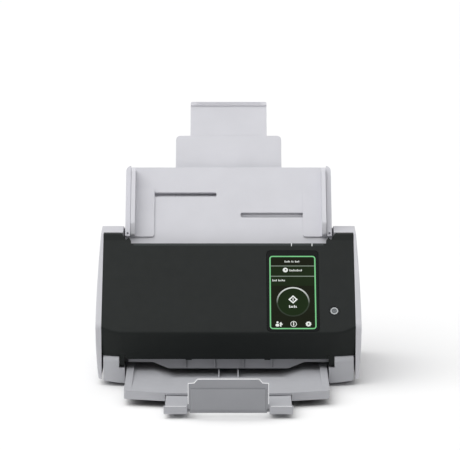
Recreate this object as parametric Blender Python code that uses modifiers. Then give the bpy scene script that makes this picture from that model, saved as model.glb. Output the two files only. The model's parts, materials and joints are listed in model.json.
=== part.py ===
"""Desktop sheet fed document scanner, built as separate pieces.

Sizes are in millimetres and turned into metres where a mesh is made. X runs across the scanner,
Y from its front to its back, and Z up from the table. Side outlines are lists of (y, z) points.
Three tilted frames hold the sloped pieces: the front face, the paper chute and the paper path.
"""
import math

import bmesh
import bpy
from mathutils import Matrix, Vector

MM = 0.001
GAP = 0.3                     # clearance between neighbouring pieces

# Whole body
ORIGIN_Y = -37.2              # puts the middle of the opened-out scanner over the origin
BODY_HALF = 150.0             # half of the widest place of the side covers
BODY_BACK = 170.0
FOOT_HEIGHT = 3.0
WALL = 2.3

# Sloped front face: it leaves the crease at FACE_TILT above the horizontal
CREASE_Z = 62.0
FACE_TILT = 50.0
LIP_LEAN = 6.1                # the lip under the crease leans forward by this much
COVER_HALF = 143.3            # half width of the black cover
COVER_TOP = 115.0             # distance up the face to the cover's middle edge
TOWER_TOP = 126.6             # distance up the face to the top of each tower
TOWER_BEND = 119.0            # the towers' faces turn steeper here
TOWER_INNER = 121.3           # where the side covers' towers start, from the middle
CORNER_START = 118.5          # under the crease the front bends back from here outwards
CORNER_DEPTH = 5.4
BEND_STEPS = 8
BEND_BACK = 12.0              # what lies behind this stays where it is

# Paper chute and paper path: one straight line at CHUTE_TILT through the hopper's foot
CHUTE_TILT = 54.0
HOPPER_Y = 94.0
HOPPER_Z = 150.0
CHUTE_HALF = 119.3
CHUTE_TOP = 93.3
CHUTE_PLATE = 3.0
RIM_INNER, RIM_TOP = 113.6, 5.0

# Cover hinge; the legs stand just outside the exit mouth, measured from its middle
HINGE_Y = 6.0
HINGE_Z = 27.0
LEG_INNER = 115.5
LEG_OUTER = 121.2
PIN_INNER, PIN_OUTER = 116.0, 127.0
PIN_R = 2.3

# Exit mouth between the front blocks
MOUTH_SHIFT = -1.85
MOUTH_HALF = 115.2
BLOCK_TOP = 34.5
BLOCK_OUTER = 141.5
BLOCK_BACK = 26.0

# Display and button, in face coordinates (x across, distance up the face)
SCREEN_LEFT, SCREEN_RIGHT = 43.5, 102.5
SCREEN_LOW, SCREEN_HIGH = 2.0, 105.5
BUTTON_X, BUTTON_UP = 119.7, 28.0
BUTTON_R = 4.5

# Rollers: distance along the path from the hopper's foot, and radius
PICK_ALONG, PICK_R = -28.0, 12.0
FEED_ALONG, FEED_R = -70.0, 8.0
EJECT_ALONG, EJECT_R = -125.0, 8.0
BRAKE_ALONG, BRAKE_R = -50.0, 7.0
IDLER_R = 6.0
SHAFT_R = 3.0
STEP = 0.001                  # run of the flat steps on a turned profile
PATH_HALF_GAP = 1.5
SCAN_ALONG = -97.0
SCAN_HALF = 10.0

# Drive
MOTOR_Y, MOTOR_Z, MOTOR_R = 78.0, 50.0, 14.0
MOTOR_PULLEY_R, PULLEY_R, PICK_PULLEY_R = 5.0, 8.0, 10.0
BELT_LEFT, BELT_RIGHT = -133.5, -129.5
BELT_THICK = 1.2
FRAME_INNER, FRAME_OUTER = 124.2, 125.7

# Side guides, in chute coordinates
GUIDE_INNER = 108.0
GUIDE_WALL = 4.8
RACK_MODULE = 1.0
PINION_TEETH = 16
PINION_UP = 45.0
RACK_BACK, RACK_FRONT = -8.0, -4.0

# Stacker
STACKER_TOP, STACKER_BOTTOM = 17.0, 7.6
EXT_TOP, EXT_BOTTOM = 14.0, 5.3
EXT_HALF = 68.4
EXT_FRONT, EXT_REAR = -140.0, -70.0
CUTOUT_HALF = 44.3
STOPPER_Y, STOPPER_Z = -135.5, 8.6


# Rear: connectors as (name, x, z, half width, half height), and screws as (x, z)
PORTS = (
    ("dc_inlet", 92.0, 24.0, 6.0, 5.5),
    ("usb_port", 62.0, 24.0, 6.2, 5.6),
    ("lan_port", 32.0, 25.0, 8.0, 6.8),
)
REAR_SCREWS = ((-105.0, 30.0), (105.0, 60.0), (-105.0, 92.0), (105.0, 92.0))
FOOT_X, FOOT_FRONT, FOOT_REAR = 122.0, 24.0, 150.0


# ---------------------------------------------------------------- outlines

def arc(centre, radius, start, end, steps):
    """Points on an arc, angles in degrees."""
    angles = [math.radians(start + (end - start) * i / steps) for i in range(steps + 1)]
    return [(centre[0] + radius * math.cos(a), centre[1] + radius * math.sin(a)) for a in angles]


def circle(x, y, radius, count=24):
    """A full circle's points."""
    return arc((x, y), radius, 0, 360 * (count - 1) / count, count - 1)


def rounded(corners, step=8.0):
    """An outline whose (x, y, radius) corners become arcs with a point about every step degrees."""
    points = []
    for i, (x, y, radius) in enumerate(corners):
        here = Vector((x, y))
        before = (Vector(corners[i - 1][:2]) - here).normalized()
        after = (Vector(corners[(i + 1) % len(corners)][:2]) - here).normalized()
        if radius == 0:
            points.append((x, y))
            continue
        half = before.angle(after) / 2
        centre = here + (before + after).normalized() * radius / math.sin(half)
        first = here + before * radius / math.tan(half) - centre
        turn = math.pi - 2 * half
        if before.x * after.y - before.y * after.x > 0:
            turn = -turn
        steps = max(1, round(abs(math.degrees(turn)) / step))
        for k in range(steps + 1):
            spun = Matrix.Rotation(turn * k / steps, 2) @ first
            points.append((centre.x + spun.x, centre.y + spun.y))
    return points


def rect(left, low, right, high, radius=0.0):
    """A rectangle with rounded corners."""
    corners = [(left, low, radius), (right, low, radius), (right, high, radius), (left, high, radius)]
    return rounded(corners, 30.0)


def face_point(up, depth=0.0):
    """(y, z) of a point up the sloped face and behind it by depth."""
    tilt = math.radians(FACE_TILT)
    y = up * math.cos(tilt) + depth * math.sin(tilt)
    z = CREASE_Z + up * math.sin(tilt) - depth * math.cos(tilt)
    return y, z


def path_point(along, front=0.0):
    """(y, z) of a point along the paper path and in front of it."""
    tilt = math.radians(CHUTE_TILT)
    y = HOPPER_Y + along * math.cos(tilt) - front * math.sin(tilt)
    z = HOPPER_Z + along * math.sin(tilt) + front * math.cos(tilt)
    return y, z


def hull(points):
    """The convex hull of flat points, anticlockwise."""
    ordered = sorted(set((round(x, 4), round(y, 4)) for x, y in points))

    def chain(sequence):
        kept = []
        for p in sequence:
            while len(kept) > 1:
                (ax, ay), (bx, by) = kept[-2], kept[-1]
                if (bx - ax) * (p[1] - ay) - (by - ay) * (p[0] - ax) > 0:
                    break
                kept.pop()
            kept.append(p)
        return kept[:-1]

    return chain(ordered) + chain(ordered[::-1])


# ---------------------------------------------------------------- objects

def new_collection(name):
    collection = bpy.data.collections.new(name)
    bpy.context.scene.collection.children.link(collection)
    return collection


def clear_scene():
    for thing in list(bpy.data.objects):
        bpy.data.objects.remove(thing)


clear_scene()
PARTS = new_collection("document_scanner")
CUTTERS = new_collection("document_scanner_cutters")
BODIES = {}


def body(name, parent=None, at=(0, 0, 0)):
    """An empty that a moving group hangs on, standing on its joint's axis."""
    empty = bpy.data.objects.new("body_" + name, None)
    PARTS.objects.link(empty)
    empty["at"] = at
    empty.parent = BODIES.get(parent)
    base = Vector(empty.parent["at"]) if empty.parent else Vector((0, -ORIGIN_Y, 0))
    empty.location = (Vector(at) - base) * MM
    BODIES[name] = empty


def place(piece, body_name, at=(0, 0, 0), tilt=0.0):
    """Hangs a piece on a body; at is in scanner coordinates, tilt turns it about X."""
    piece.parent = BODIES[body_name]
    piece.location = (Vector(at) - Vector(piece.parent["at"])) * MM
    piece.rotation_euler = (math.radians(tilt), 0, 0)
    return piece


def on_face(piece, body_name="cover"):
    return place(piece, body_name, (0, 0, CREASE_Z), FACE_TILT)


def on_chute(piece, body_name="base"):
    return place(piece, body_name, (0, HOPPER_Y, HOPPER_Z), CHUTE_TILT)


def mesh_object(name, bm, collection):
    bmesh.ops.recalc_face_normals(bm, faces=bm.faces)
    mesh = bpy.data.meshes.new(name)
    bm.to_mesh(mesh)
    bm.free()
    piece = bpy.data.objects.new(name, mesh)
    collection.objects.link(piece)
    return piece


AXES = {
    "X": Matrix(((0, 0, 1), (1, 0, 0), (0, 1, 0))),
    "Y": Matrix(((1, 0, 0), (0, 0, -1), (0, 1, 0))),
    "Z": Matrix.Identity(3),
}


def prism(name, outlines, start, end, axis="Z", collection=None):
    """A flat outline, with any holes in it, extruded along an axis from start to end."""
    curve = bpy.data.curves.new(name, "CURVE")
    curve.dimensions = "2D"
    curve.fill_mode = "BOTH"
    curve.extrude = abs(end - start) / 2 * MM
    for outline in outlines:
        spline = curve.splines.new("POLY")
        spline.points.add(len(outline) - 1)
        spline.use_cyclic_u = True
        for point, (x, y) in zip(spline.points, outline):
            point.co = (x * MM, y * MM, 0, 1)
    holder = bpy.data.objects.new(name + "_outline", curve)
    PARTS.objects.link(holder)
    graph = bpy.context.evaluated_depsgraph_get()
    filled = bpy.data.meshes.new_from_object(holder.evaluated_get(graph))
    bpy.data.objects.remove(holder)
    bm = bmesh.new()
    bm.from_mesh(filled)
    bmesh.ops.remove_doubles(bm, verts=bm.verts, dist=1e-6)
    if len(outlines) == 1:
        bmesh.ops.dissolve_limit(bm, angle_limit=0.005, verts=bm.verts, edges=bm.edges)
    middle = -(start + end) / 2 if axis == "Y" else (start + end) / 2
    bmesh.ops.translate(bm, verts=bm.verts, vec=(0, 0, middle * MM))
    bmesh.ops.transform(bm, verts=bm.verts, matrix=AXES[axis].to_4x4())
    return mesh_object(name, bm, collection or PARTS)


def block(name, low, high, collection=None):
    """A box between two corners."""
    bm = bmesh.new()
    bmesh.ops.create_cube(bm, size=1.0)
    low, high = Vector(low) * MM, Vector(high) * MM
    bmesh.ops.scale(bm, verts=bm.verts, vec=high - low)
    bmesh.ops.translate(bm, verts=bm.verts, vec=(low + high) / 2)
    return mesh_object(name, bm, collection or PARTS)


def convex(name, corners, collection=None):
    """The convex solid through a set of corners."""
    bm = bmesh.new()
    for corner in corners:
        bm.verts.new(Vector(corner) * MM)
    bmesh.ops.convex_hull(bm, input=bm.verts)
    return mesh_object(name, bm, collection or PARTS)


def rod(name, radius, start, end, y=0.0, z=0.0, collection=None, segments=24):
    """A round bar along X."""
    bm = bmesh.new()
    bmesh.ops.create_cone(bm, cap_ends=True, segments=segments, radius1=radius * MM,
                          radius2=radius * MM, depth=abs(end - start) * MM)
    turn = Matrix.Translation(Vector(((start + end) / 2, y, z)) * MM) @ Matrix.Rotation(math.pi / 2, 4, "Y")
    bmesh.ops.transform(bm, verts=bm.verts, matrix=turn)
    return mesh_object(name, bm, collection or PARTS)


def turned(name, outer, bore, steps=24):
    """A body turned about X: (x, radius) stations on its outside, and a bore through it (0 for none)."""
    profile = [(radius, x) for x, radius in sorted(outer, reverse=True)]
    ends = [(bore, profile[-1][1]), (bore, profile[0][1])]
    profile += ends
    mesh = bpy.data.meshes.new(name)
    count = len(profile)
    edges = [(i, i + 1) for i in range(count - 1)]
    if bore:
        edges.append((count - 1, 0))
    else:
        profile = [profile[-1]] + profile[:-1]
    mesh.from_pydata([(radius * MM, 0, x * MM) for radius, x in profile], edges, [])
    mesh.transform(Matrix.Rotation(math.pi / 2, 4, "Y"))
    piece = bpy.data.objects.new(name, mesh)
    PARTS.objects.link(piece)
    screw = piece.modifiers.new("turn", "SCREW")
    screw.axis = "X"
    screw.steps = steps
    screw.render_steps = steps
    screw.use_merge_vertices = True
    screw.merge_threshold = 0.00001
    smooth(piece)
    return piece


def smooth(piece):
    piece.data.shade_smooth()
    if piece.data.polygons:
        piece.data.set_sharp_from_angle(angle=math.radians(30))
    return piece


def boolean(target, tool, operation, solver):
    tool.hide_render = True
    tool.display_type = "WIRE"
    for collection in list(tool.users_collection):
        collection.objects.unlink(tool)
    CUTTERS.objects.link(tool)
    if tool.parent is None:
        tool.parent = target.parent
        tool.location = target.location
        tool.rotation_euler = target.rotation_euler
    step = target.modifiers.new(operation.lower(), "BOOLEAN")
    step.operation = operation
    step.solver = solver
    step.object = tool


def cut(target, tool, solver="EXACT"):
    """Takes a tool away from a piece; a tool with no place of its own takes the piece's."""
    boolean(target, tool, "DIFFERENCE", solver)


def join(target, tool, solver="EXACT"):
    """Adds a tool to a piece. Perforated plates need the MANIFOLD solver: EXACT leaves them open."""
    boolean(target, tool, "UNION", solver)


def round_edges(piece, width, segments=2, angle=40.0):
    bevel = piece.modifiers.new("rounded_edges", "BEVEL")
    bevel.width = width * MM
    bevel.segments = segments
    bevel.limit_method = "ANGLE"
    bevel.angle_limit = math.radians(angle)
    return piece


def bend_corners(piece):
    """Bends the ends of a piece's front back under the crease, which climbs the flat face there."""
    tilt = math.radians(FACE_TILT)
    lean = math.tan(math.radians(LIP_LEAN))
    climb = 1 / (1 / math.tan(tilt) + lean)
    bm = bmesh.new()
    bm.from_mesh(piece.data)
    for side in (-1, 1):
        for step in range(BEND_STEPS):
            x = side * (CORNER_START + (COVER_HALF - CORNER_START) * step / BEND_STEPS) * MM
            bmesh.ops.bisect_plane(bm, geom=bm.verts[:] + bm.edges[:] + bm.faces[:],
                                   plane_co=(x, 0, 0), plane_no=(1, 0, 0), dist=1e-6)
    for vert in bm.verts:
        past = max(0.0, abs(vert.co.x) / MM - CORNER_START) / (COVER_HALF - CORNER_START)
        depth = CORNER_DEPTH * past * past * MM
        if vert.co.y > BEND_BACK * MM or vert.co.z > (CREASE_Z + 6.0) * MM:
            continue
        if vert.co.z < (CREASE_Z - 6.0) * MM:
            vert.co.y += depth
        else:
            vert.co.z += depth * climb
            vert.co.y += depth * climb / math.tan(tilt)
    bm.to_mesh(piece.data)
    bm.free()
    return piece


# ---------------------------------------------------------------- materials

def material(name, colour, roughness, metallic=0.0):
    new = bpy.data.materials.new(name)
    new.use_nodes = True
    shader = new.node_tree.nodes["Principled BSDF"]
    shader.inputs["Base Color"].default_value = (*colour, 1)
    shader.inputs["Roughness"].default_value = roughness
    shader.inputs["Metallic"].default_value = metallic
    new.diffuse_color = (*colour, 1)
    return new


CHARCOAL = material("charcoal_plastic", (0.030, 0.034, 0.033), 0.50)
INNER_BLACK = material("inner_black_plastic", (0.018, 0.018, 0.018), 0.60)
LIGHT_GREY = material("light_grey_plastic", (0.58, 0.59, 0.61), 0.50)
CHUTE_GREY = material("chute_grey_plastic", (0.62, 0.62, 0.66), 0.45)
STACKER_GREY = material("stacker_grey_plastic", (0.38, 0.40, 0.42), 0.50)
RUBBER = material("black_rubber", (0.020, 0.020, 0.020), 0.85)
STEEL = material("steel", (0.56, 0.57, 0.58), 0.35, 1.0)
GLASS = material("display_glass", (0.006, 0.008, 0.008), 0.08)
SCAN_GLASS = material("scan_glass", (0.55, 0.65, 0.62), 0.05)
SCREEN = material("screen", (0.02, 0.05, 0.03), 0.30)
BOARD = material("circuit_board", (0.02, 0.16, 0.07), 0.50)


def finish(piece, kind):
    piece.data.materials.clear()
    piece.data.materials.append(kind)
    return piece


# ---------------------------------------------------------------- base

def make_base_frame():
    """Bottom pan with a hollow front block on each side of the exit mouth."""
    pan = prism("base_frame", [rect(-BLOCK_OUTER, 8, BLOCK_OUTER, 167, 4)], FOOT_HEIGHT, 5.0)
    place(pan, "base")
    roof = arc((HINGE_Y, BLOCK_TOP - 6.7), 6.7, 90, 180, 6)
    outline = [(BLOCK_BACK, BLOCK_TOP)] + roof + [(0.2, 5.0), (1.6, FOOT_HEIGHT), (BLOCK_BACK, FOOT_HEIGHT)]
    ceiling = BLOCK_TOP - WALL
    hollow = [(BLOCK_BACK + 5, ceiling), (9.5, ceiling), (9.5, 8.5), (BLOCK_BACK + 5, 8.5)]
    for side, inner in ((-1, -MOUTH_HALF + MOUTH_SHIFT), (1, MOUTH_HALF + MOUTH_SHIFT)):
        name = "left" if side < 0 else "right"
        solid = prism("front_block_" + name, [outline], inner, side * BLOCK_OUTER, "X")
        bend_corners(solid)
        join(pan, solid)
        room = prism("front_block_room_" + name, [hollow], side * 127.0, side * (BLOCK_OUTER - WALL), "X")
        bend_corners(room)
        cut(pan, room)
        # the underside rises towards the corner
        rise = [(114, FOOT_HEIGHT), (150, FOOT_HEIGHT + 4.0), (150, 0), (114, 0)]
        rise = [(side * x, z) for x, z in rise]
        cut(pan, prism("block_underside_" + name, [rise], -5, 14, "Y"))
        near, far = sorted((side * 112.0, MOUTH_SHIFT + side * (LEG_OUTER + 0.5)))
        cut(pan, block("leg_notch_" + name, (near, -3, 21.6), (far, BLOCK_BACK + 2, 40)))
        near, far = sorted((side * 112.0, side * (FRAME_OUTER + 1.0)))
        cut(pan, block("frame_notch_" + name, (near, 17.0, 5.2), (far, BLOCK_BACK + 2, 40)))
        near, far = MOUTH_SHIFT + side * LEG_OUTER, MOUTH_SHIFT + side * (PIN_OUTER + 0.6)
        cut(pan, rod("pin_hole_" + name, PIN_R + GAP, near, far, HINGE_Y, HINGE_Z))
    return finish(pan, LIGHT_GREY)


def half_width(z):
    """Half width of the body at a height: the side covers bulge gently, and more under the crease."""
    reach = 98.0 if z > 65.0 else 66.0
    return BODY_HALF + 0.2 - 4.0 * ((z - 65.0) / reach) ** 2


def side_outline(inset=0.0):
    """Outline of the body seen from the side, its front set back by the bent corners."""
    i = inset
    crease = CREASE_Z + CORNER_DEPTH * math.tan(math.radians(FACE_TILT))
    corners = [
        (CORNER_DEPTH + i, FOOT_HEIGHT + i, 4.0),
        (CORNER_DEPTH + i, crease, 10.0),
        (82.3 + i, 160.0 - i, 3.0),
        (112.0, 163.0 - i, 5.0),
        (146.0 - i, 152.0 - i, 14.0),
        (168.0 - i, 112.0, 30.0),
        (BODY_BACK - i, FOOT_HEIGHT + i, 6.0),
    ]
    return rounded(corners)


def make_side_cover(side):
    """Outer shell of one side, with the tower beside the hopper and the rear corner."""
    name = "side_cover_left" if side < 0 else "side_cover_right"
    shell = prism(name, [side_outline()], side * TOWER_INNER, side * BODY_HALF, "X")
    bm = bmesh.new()
    bm.from_mesh(shell.data)
    for height in (12, 20, 30, 40, 52, 65, 78, 90, 102, 115, 125, 135, 143, 150, 156):
        bmesh.ops.bisect_plane(bm, geom=bm.verts[:] + bm.edges[:] + bm.faces[:],
                               plane_co=(0, 0, height * MM), plane_no=(0, 0, 1), dist=1e-6)
    for vert in bm.verts:
        if abs(vert.co.x) > 0.145:
            vert.co.x = side * half_width(vert.co.z / MM) * MM
    bm.to_mesh(shell.data)
    bm.free()
    round_edges(shell, 3.5, 3, 50.0)
    place(shell, "base")

    room = prism(name + "_room", [side_outline(WALL)], side * (TOWER_INNER + WALL), side * 144.2, "X")
    cut(shell, room)
    # the black cover and the front block sit in front of the tower, inside the outer skin
    front = [(-5, 0), (-5, 200), (86.4, 200), (86.4, 160.0), (89.6, 151.0), (21.9, 69.9), (31, 48), (31, 0)]
    cut(shell, prism(name + "_front", [front], side * 120.0, side * (COVER_HALF + GAP), "X"))
    # opening between the hollow side and the middle of the scanner, under the hopper
    inside = [(-5, 0), (-5, 139), (104, 139), (110, 112), (152, 108), (152, 0)]
    cut(shell, prism(name + "_inside", [inside], side * 120.0, side * 141.8, "X"))
    under = [(side * 141.5, 5.9), (side * 146.5, 8.0), (side * 152, 14), (side * 152, 0), (side * 141.5, 0)]
    cut(shell, prism(name + "_underside", [under], -5, 180, "Y"))
    cut(shell, block(name + "_floor", (min(side * 120, side * 141.8), -5, -2),
                     (max(side * 120, side * 141.8), 168.0, 5.4)))
    return finish(shell, LIGHT_GREY)


def make_rear_cover():
    """Curved rear shell between the side covers, with vents and port openings."""
    outer = rounded([(126, 158.4, 0), (146, 152, 14), (168, 112, 30), (BODY_BACK, 5.6, 0)])
    inner = rounded([(BODY_BACK - WALL, 5.6, 0), (168 - WALL, 112, 28), (146 - WALL * 0.6, 152 - WALL, 12),
                     (126, 158.4 - WALL, 0)])
    half = TOWER_INNER - GAP
    cover = prism("rear_cover", [outer + inner], -half, half, "X")
    place(cover, "base")
    for index in range(9):
        x = -64.0 + index * 16.0
        cut(cover, block(f"vent_{index}", (x - 5, 160, 84), (x + 5, 180, 87)))
        cut(cover, block(f"vent_low_{index}", (x - 5, 160, 76), (x + 5, 180, 79)))
    for name, x, z, half_x, half_z in PORTS:
        cut(cover, block(name + "_hole", (x - half_x - GAP, 160, z - half_z - GAP),
                         (x + half_x + GAP, 180, z + half_z + GAP)))
    for x, z in REAR_SCREWS:
        cut(cover, screw_shape("screw_hole", x, z, 2.0, 160.0, 180.0))
    return finish(cover, LIGHT_GREY)


def screw_shape(name, x, z, radius, front, back):
    """A round bar along Y."""
    outline = circle(x, z, radius, 16)
    return prism(name, [outline], front, back, "Y")


def make_ports():
    """Connector housings behind the rear cover's openings, each with its socket."""
    for name, x, z, half_x, half_z in PORTS:
        shell = block(name, (x - half_x, 154.5, z - half_z), (x + half_x, BODY_BACK - 0.4, z + half_z))
        place(shell, "base")
        if name == "dc_inlet":
            cut(shell, screw_shape(name + "_socket", x, z, 4.2, 159.0, 175.0))
            join(shell, screw_shape(name + "_pin", x, z, 1.0, 158.0, 164.0))
            finish(shell, INNER_BLACK)
        else:
            cut(shell, block(name + "_socket", (x - half_x + 0.9, 159, z - half_z + 0.9),
                             (x + half_x - 0.9, 175, z + half_z - 0.9)))
            join(shell, block(name + "_tongue", (x - half_x * 0.5, 158, z + half_z - 2.6),
                              (x + half_x * 0.5, 166, z + half_z - 0.5)))
            finish(shell, STEEL)


def make_rear_screws():
    for index, (x, z) in enumerate(REAR_SCREWS):
        head = screw_shape(f"rear_screw_{index + 1}", x, z, 3.2, BODY_BACK - 0.2, BODY_BACK + 1.4)
        place(head, "base")
        join(head, screw_shape("screw_shank", x, z, 1.6, 158.0, BODY_BACK + 0.5))
        cut(head, block("screw_slot", (x - 2.0, BODY_BACK + 0.6, z - 0.4), (x + 2.0, 175, z + 0.4)))
        cut(head, block("screw_slot", (x - 0.4, BODY_BACK + 0.6, z - 2.0), (x + 0.4, 175, z + 2.0)))
        finish(head, STEEL)


def make_feet():
    for name, x, y in (("foot_front_left", -FOOT_X, FOOT_FRONT), ("foot_front_right", FOOT_X, FOOT_FRONT),
                       ("foot_rear_left", -FOOT_X, FOOT_REAR), ("foot_rear_right", FOOT_X, FOOT_REAR)):
        foot = prism(name, [circle(x, y, 8.0)], 0.0, FOOT_HEIGHT - GAP)
        finish(place(foot, "base"), RUBBER)


def make_lower_guide():
    """Lower wall of the paper path, and the panel over the stacker under it."""
    slots = [rect(-114, -140.0, 114, -11.0, 1)]
    slots.append(rect(-20, PICK_ALONG - 13, 20, PICK_ALONG + 13, 2))
    slots += [rect(x - 8, FEED_ALONG - 8.5, x + 8, FEED_ALONG + 8.5, 2) for x in (-28, 28)]
    slots += [rect(x - 6, EJECT_ALONG - 8.5, x + 6, EJECT_ALONG + 8.5, 2) for x in (-45, 45)]
    slots.append(rect(-110, SCAN_ALONG - SCAN_HALF, 110, SCAN_ALONG + SCAN_HALF, 1.5))
    guide = on_chute(prism("lower_guide", slots, -PATH_HALF_GAP - 2.0, -PATH_HALF_GAP))
    # front panel: its lower edge rises towards both ends
    low, end_low, high = 17.4, 24.9, 39.0
    end = 113.6
    right = [(68, low), (86, end_low), (end, end_low), (end, high)]
    panel = right + [(-x, z) for x, z in reversed(right)]
    front = path_point(-139.0, -PATH_HALF_GAP - 1.2)[0]
    join(guide, place(prism("exit_panel", [panel], front, front + 2.2, "Y"), "base"), "MANIFOLD")
    for x in (-48.8, -15.8, 16.5, 48.6):
        rib = block("exit_rib", (x - 0.7, front - 3.0, low + 1.6), (x + 0.7, front + 1.0, 34))
        join(guide, place(rib, "base"), "MANIFOLD")
        groove = block("exit_groove", (x + 0.7, front - 2.0, low + 1.6), (x + 2.1, front + 1.3, 34))
        cut(guide, place(groove, "base"), "MANIFOLD")
    return finish(guide, STACKER_GREY)


def make_scan_units():
    """Lower and upper scanning units: a housing and a window glass each."""
    low, high = SCAN_ALONG - SCAN_HALF + 0.6, SCAN_ALONG + SCAN_HALF - 0.6
    finish(on_chute(block("lower_scan_unit", (-109, low, -16), (109, high, -4.0))), INNER_BLACK)
    finish(on_chute(block("lower_scan_glass", (-108, low, -3.7), (108, high, -1.7))), SCAN_GLASS)
    finish(on_chute(block("upper_scan_unit", (-109, low, 4.0), (109, high, 13.2)), "cover"), INNER_BLACK)
    finish(on_chute(block("upper_scan_glass", (-108, low, 1.7), (108, high, 3.7)), "cover"), SCAN_GLASS)


def make_side_frame(side):
    """Sheet metal plate that carries the roller shafts."""
    outline = rounded([(19, 24, 3), (19, 50, 3), (31, 72, 3), (82, 137, 4), (104, 132, 5), (122, 100, 6),
                       (122, 24, 4)], 30.0)
    holes = [circle(*path_point(PICK_ALONG, -PICK_R - GAP), SHAFT_R + GAP, 20),
             circle(*path_point(FEED_ALONG, -FEED_R - GAP), SHAFT_R + GAP, 20),
             circle(*path_point(EJECT_ALONG, -EJECT_R - GAP), SHAFT_R + GAP, 20),
             circle(98.0, 70.0, 12.0, 20)]
    if side < 0:
        holes.append(circle(MOTOR_Y, MOTOR_Z, 6.0, 20))
    name = "side_frame_left" if side < 0 else "side_frame_right"
    plate = prism(name, [outline] + holes, side * FRAME_INNER, side * FRAME_OUTER, "X")
    return finish(place(plate, "base"), STEEL)


def make_hinge_pins():
    for side, name in ((-1, "hinge_pin_left"), (1, "hinge_pin_right")):
        near, far = MOUTH_SHIFT + side * PIN_INNER, MOUTH_SHIFT + side * PIN_OUTER
        pin = rod(name, PIN_R, near, far, HINGE_Y, HINGE_Z)
        finish(smooth(place(pin, "base")), STEEL)


def make_board():
    board = block("main_board", (-100, 156, 36), (70, 157.6, 116))
    place(board, "base")
    for index, (x, z, half_x, half_z, tall) in enumerate(((-60, 96, 14, 14, 3), (-10, 70, 10, 10, 2.4),
                                                        (38, 100, 8, 16, 5), (-70, 62, 12, 5, 6))):
        low, high = (x - half_x, 156.5 - tall, z - half_z), (x + half_x, 156.6, z + half_z)
        join(board, block(f"chip_{index}", low, high))
    return finish(board, BOARD)


# ---------------------------------------------------------------- rollers and drive

def tyre_stations(tyres, core_r, tyre_r):
    """(x, radius) stations of a core with a wider tyre at each (x, half width)."""
    stations = []
    for x, half in tyres:
        stations += [(x - half, core_r), (x - half + STEP, tyre_r)]
        stations += [(x + half - STEP, tyre_r), (x + half, core_r)]
    return stations


def shaft_assembly(name, along, tyre_r, pulley_r, tyres, core_r):
    """A driven shaft with its rubber tyres on a sleeve and its belt pulley."""
    at = (0, *path_point(along, -tyre_r - GAP))
    body(name, "base", at)
    shaft = turned(name + "_shaft", [(-134.5, SHAFT_R), (127.5, SHAFT_R)], 0)
    finish(place(shaft, name, at), STEEL)
    stations = tyre_stations(tyres, core_r, tyre_r)
    sleeve = [(stations[0][0] - 3, core_r), (stations[-1][0] + 3, core_r)]
    roller = turned(name + "_roller", sorted(stations + sleeve), SHAFT_R + GAP, 28)
    finish(place(roller, name, at), RUBBER)
    rim = [(BELT_LEFT - 0.6, pulley_r), (BELT_RIGHT + 0.6, pulley_r)]
    pulley = turned(name + "_pulley", rim, SHAFT_R + GAP)
    finish(place(pulley, name, at), INNER_BLACK)


def belt_loop(pulleys, clearance, sides=36):
    """The taut loop round a set of (centre, radius) pulleys, standing clear of them."""
    points = []
    for centre, radius in pulleys:
        points += circle(*centre, (radius + clearance) / math.cos(math.pi / sides), sides)
    return hull(points)


def make_drive():
    shaft_assembly("pick", PICK_ALONG, PICK_R, PICK_PULLEY_R, ((0, 17),), 8.0)
    shaft_assembly("feed", FEED_ALONG, FEED_R, PULLEY_R, ((-28, 6), (28, 6)), 4.6)
    shaft_assembly("eject", EJECT_ALONG, EJECT_R, PULLEY_R, ((-45, 4), (45, 4)), 4.6)
    at = (0, MOTOR_Y, MOTOR_Z)
    body("motor", "base", at)
    rim = [(BELT_LEFT - 0.6, MOTOR_PULLEY_R), (BELT_RIGHT + 0.6, MOTOR_PULLEY_R)]
    finish(place(turned("motor_pulley", rim, 2.0), "motor", at), INNER_BLACK)
    front, back = -123.9, -92.0
    can = turned("feed_motor", [(-134.0, 1.7), (front, 1.7), (front + STEP, MOTOR_R), (back, MOTOR_R),
                                (back + STEP, 6.0), (back + 3.0, 6.0)], 0, 32)
    finish(place(can, "base", at), STEEL)
    pulleys = [(path_point(PICK_ALONG, -PICK_R - GAP), PICK_PULLEY_R),
               (path_point(FEED_ALONG, -FEED_R - GAP), PULLEY_R),
               (path_point(EJECT_ALONG, -EJECT_R - GAP), PULLEY_R),
               ((MOTOR_Y, MOTOR_Z), MOTOR_PULLEY_R)]
    loops = [belt_loop(pulleys, GAP + BELT_THICK), belt_loop(pulleys, GAP)]
    belt = prism("drive_belt", loops, BELT_LEFT, BELT_RIGHT, "X")
    finish(place(belt, "base"), RUBBER)
    tie = path_point(-12.5, -9.0)
    finish(smooth(place(rod("tie_rod", 2.5, -123.9, 123.9, *tie), "base")), STEEL)


def pressed_roller(name, along, radius, tyres, core_r, ends):
    """A free roller in the cover that presses paper on a driven one."""
    at = (0, *path_point(along, radius + GAP))
    body(name, "cover", at)
    pin_r = 1.6
    shoulder = tyres[-1][0] + tyres[-1][1] + 2
    stations = tyre_stations(tyres, core_r, radius)
    stations += [(-ends, pin_r), (-shoulder, pin_r), (-shoulder + STEP, core_r)]
    stations += [(shoulder - STEP, core_r), (shoulder, pin_r), (ends, pin_r)]
    roller = turned(name, sorted(stations), 0, 24)
    finish(place(roller, name, at), RUBBER)


# ---------------------------------------------------------------- cover

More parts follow.
